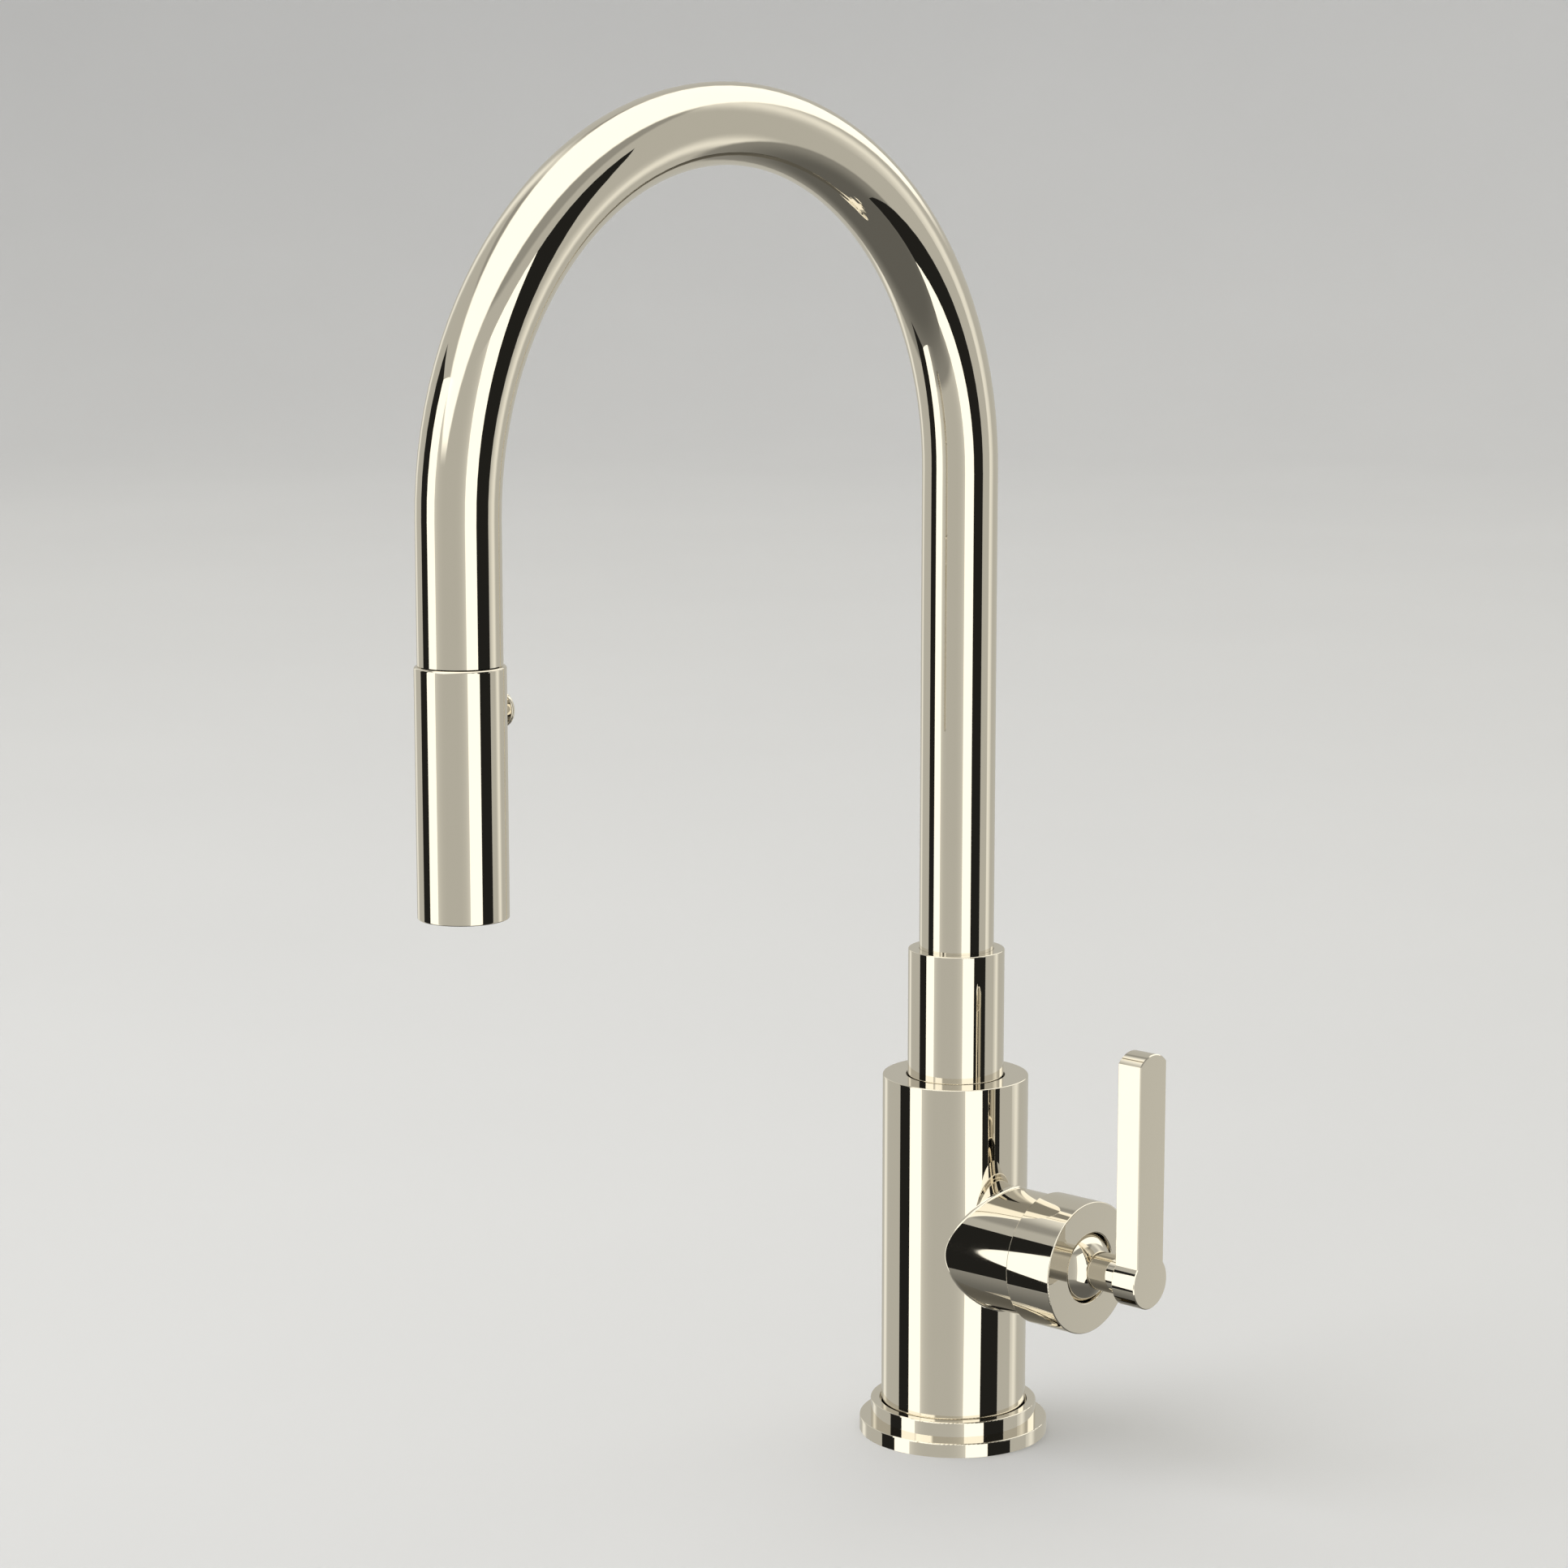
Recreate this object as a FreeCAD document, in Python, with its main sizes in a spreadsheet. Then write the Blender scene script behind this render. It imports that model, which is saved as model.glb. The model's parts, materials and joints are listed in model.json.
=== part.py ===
import FreeCAD, Part
import math
import os
import Sketcher
from types import SimpleNamespace
from FreeCAD import Placement, Rotation, Vector

# Pull-down kitchen faucet, millimetres.  The origin is the centre of the deck hole on the deck's
# surface, +Z is up, the spout reaches along -Y and the valve with its lever points along +X.

SIZES = {
    # gooseneck spout: one bent tube, a half-circle arch between two straight legs
    "reach": 228.0,
    "arch_start": 333.0,
    "tube_radius": 12.7,
    "tube_wall": 1.2,
    "tube_foot": 140.2,
    "outlet_height": 290.7,
    # base flange with its raised ring, and the gasket under it
    "flange_radius": 32.4,
    "flange_rim": 4.9,
    "ring_radius": 28.6,
    "ring_top": 11.1,
    "ring_recess": 25.4,
    "flange_bore": 17.3,
    "gasket_inner": 24.9,
    "gasket_outer": 29.7,
    "gasket_height": 1.9,
    # mixer body, a cast column with a side boss for the valve
    "body_radius": 24.9,
    "body_foot": 6.2,
    "body_top": 126.3,
    "port_floor": 14.0,
    "boss_radius": 21.0,
    "boss_end": 41.0,
    "seat_radius": 17.6,
    "seat_floor": 24.0,
    "nut_bore": 19.5,
    "nut_floor": 36.3,
    "valve_height": 69.1,
    # water ways: three ports around the hose hole
    "hose_hole": 6.2,
    "port_pitch": 11.0,
    "port_angle": 75.0,
    "port_radius": 4.0,
    "port_depth": 12.0,
    "way_radius": 2.3,
    "inlet_drop": 5.1,
    "outlet_rise": 10.0,
    # swivel joint between the body and the spout
    "swivel_bore": 15.0,
    "swivel_floor": 84.0,
    "collar_bore": 16.9,
    "collar_floor": 114.0,
    "collar_radius": 16.4,
    "collar_foot": 122.2,
    "collar_top": 170.2,
    "stem_outer": 14.6,
    "stem_spigot": 12.6,
    "stem_inner": 8.0,
    "stem_top": 139.8,
    "ring_groove": 95.0,
    "ring_groove_width": 2.4,
    "o_ring_low": 101.4,
    "o_ring_high": 108.4,
    "o_ring_width": 2.8,
    # threaded shank and clamp under the deck
    "shank_radius": 17.0,
    "shank_bore": 15.3,
    "shank_end": -62.0,
    "clamp_bore": 17.4,
    "clamp_radius": 27.0,
    "clamp_top": -30.0,
    "seal_height": 3.0,
    "washer_height": 2.0,
    "nut_gap": 2.0,
    "nut_height": 9.0,
    "screw_pitch": 22.2,
    "screw_radius": 2.5,
    "screw_length": 17.0,
    "screw_head": 4.3,
    # ceramic cartridge, measured along the valve axis from the column's centre line
    "case_radius": 17.4,
    "case_foot": 24.3,
    "case_floor": 28.0,
    "case_step": 40.0,
    "case_top": 46.0,
    "disc_bore": 15.2,
    "fixed_disc_radius": 14.9,
    "moving_disc_radius": 11.8,
    "disc_height": 3.98,
    "disc_offset": 2.9,
    "driver_radius": 10.5,
    "driver_foot": 36.1,
    "driver_plate": 2.5,
    "driver_top": 41.5,
    "driver_half": 4.5,
    "driver_travel": 5.72,
    "socket_radius": 1.9,
    "mouth_radius": 3.2,
    "mouth_floor": 39.7,
    "carrier_radius": 16.2,
    "carrier_neck": 15.3,
    "carrier_bore": 13.3,
    "carrier_foot": 40.3,
    "carrier_floor": 42.0,
    "carrier_step": 45.8,
    "carrier_top": 55.0,
    "running_gap": 0.05,
    # ball joint and lever
    "ball_centre": 51.5,
    "ball_radius": 13.0,
    "ball_cut": 4.5,
    "stem_radius": 6.5,
    "pin_radius": 1.5,
    "pin_half": 15.2,
    "pin_gap": 0.03,
    "spindle_radius": 2.6,
    "spindle_step": 8.0,
    "neck_radius": 1.3,
    "tip_arm": 13.5,
    "tip_radius": 1.7,
    "spigot_radius": 4.0,
    "spigot_length": 6.5,
    "lever_back": 75.0,
    "lever_front": 84.3,
    "lever_disc": 9.05,
    "bar_half": 7.0,
    "bar_corner": 74.2,
    "bar_peak": 77.4,
    "grub_radius": 2.0,
    "grub_length": 4.5,
    # chromed valve cap, its nut and the wiper round the ball
    "nut_radius": 19.4,
    "nut_foot": 36.6,
    "nut_lip": 46.1,
    "nut_top": 48.2,
    "cap_radius": 22.45,
    "cap_foot": 41.05,
    "cap_end": 59.1,
    "cap_hole": 12.0,
    "cap_lip": 57.4,
    "cap_bore": 17.0,
    "wiper_foot": 55.4,
    "wiper_top": 57.2,
    "wiper_inner": 12.75,
    # spray wand
    "wand_radius": 13.65,
    "wand_bore": 12.0,
    "wand_bottom": 215.1,
    "wand_top": 290.4,
    "wand_lip": 286.9,
    "wand_mouth": 9.4,
    "core_radius": 11.8,
    "core_foot": 222.6,
    "core_neck": 8.9,
    "core_top": 304.5,
    "socket_floor": 291.0,
    "socket_bore": 7.2,
    "inlet_bore": 5.2,
    "inlet_floor": 281.9,
    "stream_bore": 3.0,
    "core_groove": 231.0,
    "face_radius": 11.9,
    "face_foot": 215.9,
    "face_height": 4.0,
    "nozzle_pitch": 9.2,
    "nozzle_count": 12,
    "nozzle_radius": 0.8,
    "pad_foot": 220.0,
    "pad_top": 222.4,
    "aerator_radius": 6.2,
    "aerator_foot": 216.0,
    "aerator_top": 228.3,
    "aerator_bore": 5.4,
    # spray button and transverse diverter
    "button_height": 275.8,
    "button_radius": 5.5,
    "button_out": 17.0,
    "button_back": 15.5,
    "button_neck": 4.0,
    "button_seat": 11.4,
    "plunger_radius": 5.5,
    "plunger_foot": 9.0,
    "plunger_top": 10.4,
    "plunger_bore": 3.2,
    "chamber_radius": 4.3,
    "chamber_start": 9.5,
    "chamber_end": 7.8,
    "land_radius": 4.2,
    "chamber_lip": 0.9,
    "shaft_radius": 1.7,
    "spool_groove": 1.0,
    "spool_ring": 0.5,
    "back_land": -7.4,
    "front_land": 0.6,
    "land_lip": 0.8,
    "land_groove": 1.4,
    "plunger_plate": 0.8,
    "plunger_step": 0.1,
    "return_radius": 2.7,
    "return_wire": 0.3,
    "return_gap": 0.4,
    "return_length": 2.05,
    "return_turns": 2.05,
    # hose and its fittings
    "hose_radius": 5.5,
    "hose_bore": 3.5,
    "hose_end": -78.0,
    "hose_split": 330.0,
    "hose_nut_foot": 292.4,
    "hose_nut_top": 303.0,
    "hose_nut_radius": 7.1,
    "ferrule_radius": 6.8,
    "ferrule_top": 311.5,
    "dock_inner": 9.25,
    "dock_top": 303.0,
    "magnet_top": 308.4,
    # edges
    "edge": 0.4,
    "bevel": 0.3,
    "rim": 0.8,
    "seam": 1.0,
}

DOC = FreeCAD.newDocument("pull_down_faucet")
SHEET = DOC.addObject("Spreadsheet::Sheet", "Sizes")
NODES = {}


class Size:
    """A number together with the sheet expression that gives it."""

    def __init__(self, value, text):
        self.value = value
        self.text = text

    def __add__(self, other):
        other = as_size(other)
        return Size(self.value + other.value, f"({self.text} + {other.text})")

    def __sub__(self, other):
        other = as_size(other)
        return Size(self.value - other.value, f"({self.text} - {other.text})")

    def __mul__(self, other):
        other = as_size(other)
        return Size(self.value * other.value, f"({self.text} * {other.text})")

    def __truediv__(self, other):
        other = as_size(other)
        return Size(self.value / other.value, f"({self.text} / {other.text})")

    def __neg__(self):
        return Size(-self.value, f"(0 - {self.text})")


def as_size(number):
    if isinstance(number, Size):
        return number
    return Size(float(number), repr(float(number)))


def fill_sheet():
    """Write every driving dimension into the sheet and return them as named sizes."""
    named = {}
    for row, (alias, value) in enumerate(SIZES.items(), start=1):
        SHEET.set(f"A{row}", alias)
        SHEET.set(f"B{row}", str(value))
        SHEET.setAlias(f"B{row}", alias)
        named[alias] = Size(float(value), f"Sizes.{alias}")
    DOC.recompute()
    return SimpleNamespace(**named)


at = fill_sheet()
polar_x = Size(math.cos(math.radians(at.port_angle.value)), "cos(Sizes.port_angle * 1 deg)")
polar_y = Size(math.sin(math.radians(at.port_angle.value)), "sin(Sizes.port_angle * 1 deg)")
tube_inner = at.tube_radius - at.tube_wall
lever_middle = at.lever_back + at.spigot_length / 2
inlet_x = at.port_pitch * polar_x
inlet_y = at.port_pitch * polar_y

# A station is where a group of pieces stands: x, y, z and the way its local Z points.
MAIN = (0, 0, 0, Rotation())
WAND = (0, -at.reach, 0, Rotation())
VALVE = (0, 0, at.valve_height, Rotation(Vector(0, 1, 0), 90))
LEVER = (0, 0, at.valve_height, Rotation())
BUTTON = (0, -at.reach, at.button_height, Rotation(Vector(1, 0, 0), -90))

# where the three water ways cross the cartridge's seat, in the valve station's own X and Y
WAY_PLACES = [(at.inlet_drop, inlet_y), (at.inlet_drop, -inlet_y), (-at.outlet_rise, 0)]


def bind(thing, name, size):
    """Set a property from the sheet, or plainly when the size is a bare number."""
    if isinstance(size, Size):
        thing.setExpression(name, size.text)


def put_at(thing, station):
    x, y, z, turn = station
    place = [as_size(value).value for value in (x, y, z)]
    thing.Placement = Placement(Vector(*place), turn)
    for axis, value in zip("xyz", (x, y, z)):
        bind(thing, f"Placement.Base.{axis}", value)


def new_body(name, station):
    body = DOC.addObject("PartDesign::Body", name)
    body.Label = name
    put_at(body, station)
    NODES[name] = body
    return body


def new_sketch(body, role, offset=0):
    """A sketch on one of the body's own origin planes, moved along the plane's normal."""
    sketch = body.newObject("Sketcher::SketchObject", f"{body.Name}_sketch")
    plane = next(item for item in body.Origin.OriginFeatures if item.Role == role)
    sketch.AttachmentSupport = [(plane, "")]
    sketch.MapMode = "FlatFace"
    sketch.AttachmentOffset = Placement(Vector(0, 0, as_size(offset).value), Rotation())
    bind(sketch, "AttachmentOffset.Base.z", offset)
    return sketch


def hold_point(sketch, edge, end, point):
    """Tie one point of the sketch to its two coordinates."""
    for kind, size in zip(("DistanceX", "DistanceY"), point):
        size = as_size(size)
        index = sketch.addConstraint(Sketcher.Constraint(kind, -1, 1, edge, end, size.value))
        sketch.setExpression(f"Constraints[{index}]", size.text)


def outline(sketch, points):
    """A closed outline of straight lines through the points."""
    places = [Vector(as_size(x).value, as_size(y).value, 0) for x, y in points]
    first = sketch.GeometryCount
    count = len(points)
    for index in range(count):
        sketch.addGeometry(Part.LineSegment(places[index], places[(index + 1) % count]))
    for index in range(count):
        following = first + (index + 1) % count
        sketch.addConstraint(Sketcher.Constraint("Coincident", first + index, 2, following, 1))
        hold_point(sketch, first + index, 1, points[index])


def circle(sketch, x, y, radius):
    place = Vector(as_size(x).value, as_size(y).value, 0)
    edge = sketch.addGeometry(Part.Circle(place, Vector(0, 0, 1), as_size(radius).value))
    hold_point(sketch, edge, 3, (x, y))
    index = sketch.addConstraint(Sketcher.Constraint("Radius", edge, as_size(radius).value))
    bind(sketch, f"Constraints[{index}]", radius)


def turn(body, points, kind="PartDesign::Revolution", angle=360):
    """Turn an outline of (radius, height) points about the body's Z axis."""
    sketch = new_sketch(body, "XZ_Plane")
    outline(sketch, points)
    feature = body.newObject(kind, f"{body.Name}_turned")
    feature.Profile = sketch
    feature.ReferenceAxis = (sketch, ["V_Axis"])
    feature.Angle = angle
    return feature


def turned(name, station, points, angle=360):
    body = new_body(name, station)
    turn(body, points, angle=angle)
    return body


def ring(name, station, inner, outer, foot, top, angle=360):
    """A plain ring, washer, bush or disc."""
    points = [(inner, foot), (outer, foot), (outer, top), (inner, top)]
    return turned(name, station, points, angle)


def pad(body, sketch, length, back=False):
    feature = body.newObject("PartDesign::Pad", f"{body.Name}_pad")
    feature.Profile = sketch
    feature.Length = as_size(length).value
    bind(feature, "Length", length)
    feature.Reversed = back
    return feature


def pocket(body, sketch, depth, back=False):
    """A pocket cuts against its sketch's normal, or along it when back is set."""
    feature = body.newObject("PartDesign::Pocket", f"{body.Name}_pocket")
    feature.Profile = sketch
    feature.Length = as_size(depth).value
    bind(feature, "Length", depth)
    feature.Reversed = back
    return feature


def drill(body, role, start, x, y, radius, depth, back=False):
    sketch = new_sketch(body, role, start)
    circle(sketch, x, y, radius)
    return pocket(body, sketch, depth, back)


def repeat_round(body, feature, count):
    """Repeat a feature round the body's Z axis."""
    axis = next(item for item in body.Origin.OriginFeatures if item.Role == "Z_Axis")
    pattern = body.newObject("PartDesign::PolarPattern", f"{body.Name}_pattern")
    pattern.Originals = [feature]
    pattern.Axis = (axis, [""])
    pattern.Angle = 360
    pattern.Occurrences = int(as_size(count).value)
    bind(pattern, "Occurrences", count)
    body.Tip = pattern


def is_circle(edge, radius, height, axis):
    """Whether an edge is the circle of this radius at this height along the axis."""
    curve = edge.Curve
    if not isinstance(curve, Part.Circle) or abs(curve.Radius - radius) > 0.01:
        return False
    return abs(curve.Center.dot(axis) - height) < 0.01


def round_circles(body, radius, circles, axis=Vector(0, 0, 1)):
    """Round the body's circular edges that are given as (radius, height) pairs."""
    DOC.recompute()
    base = body.Tip
    wanted = [(as_size(size).value, as_size(height).value) for size, height in circles]
    names = []
    for number, edge in enumerate(base.Shape.Edges, start=1):
        if any(is_circle(edge, size, height, axis) for size, height in wanted):
            names.append(f"Edge{number}")
    if len(names) < len(wanted):
        raise RuntimeError(f"{body.Label}: an edge to round was not found")
    feature = body.newObject("PartDesign::Fillet", f"{body.Name}_round")
    feature.Base = (base, names)
    feature.Radius = as_size(radius).value
    bind(feature, "Radius", radius)


def round_seam(body, radius):
    """Round the seam where two round walls of the body meet, which is neither a line nor a circle."""
    DOC.recompute()
    base = body.Tip
    names = []
    for number, edge in enumerate(base.Shape.Edges, start=1):
        if not isinstance(edge.Curve, (Part.Line, Part.Circle)):
            names.append(f"Edge{number}")
    if not names:
        raise RuntimeError(f"{body.Label}: no seam was found")
    feature = body.newObject("PartDesign::Fillet", f"{body.Name}_seam")
    feature.Base = (base, names)
    bind(feature, "Radius", radius)


def o_rings(name, station, places, thickness):
    """Seals of round section, each given as (x, y, z, ring radius)."""
    rings = []
    for number, (x, y, z, radius) in enumerate(places):
        seal = DOC.addObject("Part::Torus", f"{name}_ring_{number}")
        seal.Radius1 = as_size(radius).value
        seal.Radius2 = as_size(thickness).value
        bind(seal, "Radius2", thickness)
        bind(seal, "Radius1", radius)
        put_at(seal, (x, y, z, Rotation()))
        rings.append(seal)
    return group(name, station, rings)


def group(name, station, members):
    """Loose solids that share one node."""
    whole = DOC.addObject("Part::Compound", name)
    whole.Links = members
    whole.Label = name
    put_at(whole, station)
    NODES[name] = whole
    return whole


def rod(name, radius, length, station):
    piece = DOC.addObject("Part::Cylinder", name)
    piece.Radius = as_size(radius).value
    piece.Height = as_size(length).value
    bind(piece, "Radius", radius)
    bind(piece, "Height", length)
    put_at(piece, station)
    return piece


def coil(name, station, radius, wire, foot, length, turns):
    """A helical compression spring."""
    body = new_body(name, station)
    sketch = new_sketch(body, "XZ_Plane")
    circle(sketch, radius, foot, wire)
    feature = body.newObject("PartDesign::AdditiveHelix", f"{name}_helix")
    feature.Profile = sketch
    feature.ReferenceAxis = (sketch, ["V_Axis"])
    feature.Mode = "pitch-height-angle"
    height = as_size(length)
    pitch = height / turns
    feature.Pitch = pitch.value
    feature.Height = height.value
    bind(feature, "Pitch", pitch)
    bind(feature, "Height", height)


def bent_pipe(name, outer, inner, foot, far_end):
    """A pipe from foot up the column, over the arch and down to far_end above the outlet."""
    body = new_body(name, MAIN)
    section = new_sketch(body, "XY_Plane", foot)
    circle(section, 0, 0, outer)
    circle(section, 0, 0, inner)
    route = new_sketch(body, "YZ_Plane")
    arch = at.reach / 2
    up = [Vector(0, as_size(foot).value, 0), Vector(0, at.arch_start.value, 0)]
    down = [Vector(-at.reach.value, at.arch_start.value, 0), Vector(-at.reach.value, far_end.value, 0)]
    centre = Vector(-arch.value, at.arch_start.value, 0)
    half_turn = Part.Circle(centre, Vector(0, 0, 1), arch.value)
    route.addGeometry(Part.LineSegment(*up))
    route.addGeometry(Part.ArcOfCircle(half_turn, 0, math.pi))
    route.addGeometry(Part.LineSegment(*down))
    route.addConstraint(Sketcher.Constraint("Coincident", 0, 2, 1, 1))
    route.addConstraint(Sketcher.Constraint("Coincident", 1, 2, 2, 1))
    hold_point(route, 0, 1, (0, foot))
    hold_point(route, 0, 2, (0, at.arch_start))
    hold_point(route, 2, 1, (-at.reach, at.arch_start))
    hold_point(route, 2, 2, (-at.reach, far_end))
    level = route.addConstraint(Sketcher.Constraint("DistanceY", -1, 1, 1, 3, at.arch_start.value))
    route.setExpression(f"Constraints[{level}]", at.arch_start.text)
    pipe = body.newObject("PartDesign::AdditivePipe", f"{name}_pipe")
    pipe.Profile = section
    pipe.Spine = (route, ["Edge1", "Edge2", "Edge3"])
    return body


def make_base():
    base = turned("base_flange", MAIN, [
        (at.flange_bore, 0), (at.gasket_inner - 0.2, 0),
        (at.gasket_inner - 0.2, at.gasket_height + 0.1), (at.gasket_outer + 0.2, at.gasket_height + 0.1),
        (at.gasket_outer + 0.2, 0), (at.flange_radius, 0),
        (at.flange_radius, at.flange_rim), (at.ring_radius, at.flange_rim),
        (at.ring_radius, at.ring_top), (at.ring_recess, at.ring_top),
        (at.ring_recess, at.body_foot), (at.flange_bore, at.body_foot),
    ])
    round_circles(base, at.edge, [
        (at.flange_radius, at.flange_rim), (at.ring_radius, at.ring_top), (at.ring_recess, at.ring_top),
    ])
    ring("base_gasket", MAIN, at.gasket_inner, at.gasket_outer, 0, at.gasket_height)


def drill_water_ways(body):
    """Three ports in the floor, a riser above each, and a cross way to the cartridge's seat."""
    top = at.valve_height - at.inlet_drop
    ports = [(inlet_x, inlet_y, top), (inlet_x, -inlet_y, top)]
    ports.append((at.port_pitch, 0, at.valve_height + at.outlet_rise))
    for x, y, height in ports:
        drill(body, "XY_Plane", at.port_floor, x, y, at.port_radius, at.port_depth, back=True)
        drill(body, "XY_Plane", at.port_floor, x, y, at.way_radius, height - at.port_floor, back=True)
        drill(body, "YZ_Plane", at.seat_floor, y, height, at.way_radius, at.seat_floor - x)


def make_mixer_body():
    body = turned("mixer_body", MAIN, [
        (0, at.port_floor), (at.shank_radius + 0.1, at.port_floor), (at.shank_radius + 0.1, at.body_foot),
        (at.body_radius, at.body_foot), (at.body_radius, at.body_top), (0, at.body_top),
    ])
    boss = new_sketch(body, "YZ_Plane")
    circle(boss, 0, at.valve_height, at.boss_radius)
    pad(body, boss, at.boss_end)
    round_seam(body, at.seam)
    round_circles(body, at.edge, [(at.body_radius, at.body_top)])
    groove_foot = at.ring_groove - at.ring_groove_width / 2
    groove_top = at.ring_groove + at.ring_groove_width / 2
    turn(body, [
        (0, at.port_floor), (at.hose_hole, at.port_floor), (at.hose_hole, at.swivel_floor),
        (at.swivel_bore, at.swivel_floor), (at.swivel_bore, groove_foot),
        (at.swivel_bore + 1.3, groove_foot), (at.swivel_bore + 1.3, groove_top),
        (at.swivel_bore, groove_top), (at.swivel_bore, at.collar_floor),
        (at.collar_bore, at.collar_floor), (at.collar_bore, at.body_top), (0, at.body_top),
    ], "PartDesign::Groove")
    drill(body, "YZ_Plane", at.boss_end, 0, at.valve_height, at.seat_radius, at.boss_end - at.seat_floor)
    drill(body, "YZ_Plane", at.boss_end, 0, at.valve_height, at.nut_bore, at.boss_end - at.nut_floor)
    drill_water_ways(body)
    round_circles(body, at.edge, [(at.boss_radius, at.boss_end)], Vector(1, 0, 0))
    round_circles(body, at.edge / 2, [(at.collar_bore, at.body_top)])


def make_deck_clamp():
    chamfer = 0.8
    turned("mounting_shank", MAIN, [
        (at.shank_bore, at.shank_end), (at.shank_radius - chamfer, at.shank_end),
        (at.shank_radius, at.shank_end + chamfer), (at.shank_radius, at.port_floor - 0.2),
        (at.shank_bore, at.port_floor - 0.2),
    ])
    seal_foot = at.clamp_top - at.seal_height
    washer_foot = seal_foot - at.washer_height
    nut_top = washer_foot - at.nut_gap
    ring("deck_seal", MAIN, at.clamp_bore, at.clamp_radius, seal_foot, at.clamp_top)
    ring("deck_washer", MAIN, at.clamp_bore, at.clamp_radius, washer_foot, seal_foot)
    nut = ring("mounting_nut", MAIN, at.shank_radius + 0.1, at.clamp_radius, nut_top - at.nut_height, nut_top)
    hole = drill(nut, "XY_Plane", nut_top, at.screw_pitch, 0, at.screw_radius + 0.05, at.nut_height)
    repeat_round(nut, hole, 3)
    notch = drill(nut, "XY_Plane", nut_top, -at.clamp_radius, 0, 3, at.nut_height)
    notches = nut.newObject("PartDesign::PolarPattern", "mounting_nut_notches")
    notches.Originals = [notch]
    notches.Axis = (next(item for item in nut.Origin.OriginFeatures if item.Role == "Z_Axis"), [""])
    notches.Occurrences = 3
    nut.Tip = notches
    make_lock_screws(washer_foot)


def make_lock_screws(tip):
    """Three hexagon-socket screws that press the washer against the deck."""
    head_height = 3.0
    screws = []
    for number in range(3):
        turn_by = math.radians(120 * number)
        x = at.screw_pitch * round(math.cos(turn_by), 9)
        y = at.screw_pitch * round(math.sin(turn_by), 9)
        foot = tip - at.screw_length
        shaft = rod(f"lock_screw_shaft_{number}", at.screw_radius, at.screw_length, (x, y, foot, Rotation()))
        head = rod(f"lock_screw_head_{number}", at.screw_head, head_height,
                   (x, y, foot - head_height, Rotation()))
        whole = DOC.addObject("Part::Fuse", f"lock_screw_blank_{number}")
        whole.Base = shaft
        whole.Tool = head
        socket = DOC.addObject("Part::Prism", f"lock_screw_socket_{number}")
        socket.Polygon = 6
        socket.Circumradius = 2.3
        socket.Height = 2.0
        put_at(socket, (x, y, foot - head_height, Rotation()))
        screw = DOC.addObject("Part::Cut", f"lock_screw_{number}")
        screw.Base = whole
        screw.Tool = socket
        screws.append(screw)
    group("lock_screws", MAIN, screws)


def make_cartridge():
    case = turned("cartridge_housing", VALVE, [
        (0, at.case_foot), (at.case_radius, at.case_foot), (at.case_radius, at.case_top),
        (at.carrier_radius + at.running_gap, at.case_top), (at.carrier_radius + at.running_gap, at.case_step),
        (at.disc_bore, at.case_step), (at.disc_bore, at.case_floor), (0, at.case_floor),
    ])
    seal_radius = 3.2
    seal_half = 0.8
    seals = []
    for x, y in WAY_PLACES:
        drill(case, "XY_Plane", at.case_floor, x, y, at.way_radius, at.case_floor - at.case_foot)
        drill(case, "XY_Plane", at.case_foot, x, y, seal_radius + seal_half + 0.1, 1.4, back=True)
        seals.append((x, y, at.seat_floor + seal_half + 0.05, seal_radius))
    o_rings("inlet_seals", VALVE, seals, seal_half)
    fixed_foot = at.case_floor + at.running_gap
    fixed_top = fixed_foot + at.disc_height
    fixed = ring("fixed_ceramic_disc", VALVE, 0, at.fixed_disc_radius, fixed_foot, fixed_top)
    for x, y in WAY_PLACES:
        drill(fixed, "XY_Plane", fixed_foot + at.disc_height, x, y, at.way_radius, at.disc_height)
    make_moving_disc(fixed_foot + at.disc_height + 0.02)
    make_carrier()
    turned("cartridge_nut", VALVE, [
        (at.case_radius + 0.1, at.nut_foot), (at.nut_radius, at.nut_foot), (at.nut_radius, at.nut_top),
        (at.carrier_neck + 0.3, at.nut_top), (at.carrier_neck + 0.3, at.nut_lip),
        (at.case_radius + 0.1, at.nut_lip),
    ])


def make_moving_disc(foot):
    """The sliding ceramic disc with its mixing chamber, and the plastic driver on its back."""
    disc = new_body("moving_ceramic_disc", VALVE)
    face = new_sketch(disc, "XY_Plane", foot)
    circle(face, at.disc_offset, 0, at.moving_disc_radius)
    pad(disc, face, at.disc_height)
    chamber_radius = 7.5
    drill(disc, "XY_Plane", foot, at.disc_offset, 0, chamber_radius, 2.2, back=True)
    driver = new_body("disc_driver", VALVE)
    plate = new_sketch(driver, "XY_Plane", at.driver_foot)
    circle(plate, at.disc_offset, 0, at.driver_radius)
    pad(driver, plate, at.driver_plate)
    block = new_sketch(driver, "XY_Plane", at.driver_foot)
    half = at.driver_half
    outline(block, [(-half, -half), (half, -half), (half, half), (-half, half)])
    pad(driver, block, at.driver_top - at.driver_foot)
    drill(driver, "XY_Plane", at.driver_top, 0, 0, at.socket_radius, at.driver_top - at.driver_foot)
    drill(driver, "XY_Plane", at.driver_top, 0, 0, at.mouth_radius, at.driver_top - at.mouth_floor)


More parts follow.
